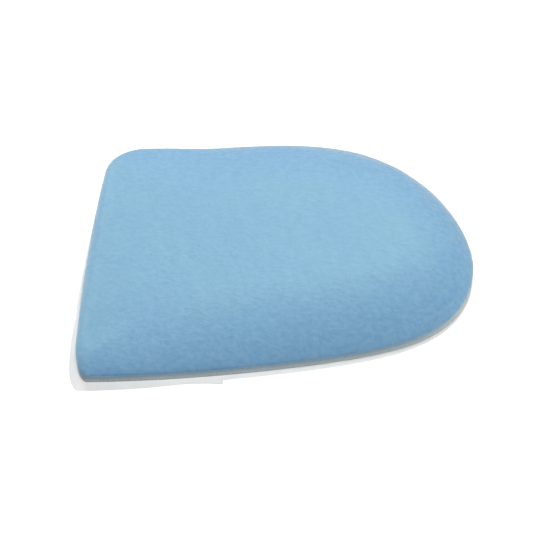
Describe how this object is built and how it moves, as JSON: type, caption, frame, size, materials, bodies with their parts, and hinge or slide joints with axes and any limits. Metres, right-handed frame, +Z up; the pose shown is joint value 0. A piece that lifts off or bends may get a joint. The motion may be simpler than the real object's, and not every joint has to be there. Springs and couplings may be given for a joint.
{
  "type": "heel wedge",
  "caption": "Fabric-covered foam heel wedge for a shoe, thin at a straight front edge and thick at a round heel, on a split peel-off liner.",
  "frame": {"origin": "under the middle of the part, on the underside of the liner", "axes": "+X from the straight front edge to the round heel, +Y to the side that the plan bows to, +Z up from the liner"},
  "size_m": [0.0968, 0.0728, 0.0101],
  "materials": {
    "cover_fabric": "brushed matte nap",
    "foam": "matte",
    "liner_paper": "satin coated paper"
  },
  "bodies": {
    "root": {"fabric_cover": "cover_fabric", "foam_wedge": "foam", "liner_front": "liner_paper", "liner_heel": "liner_paper"}
  },
  "joints": []
}
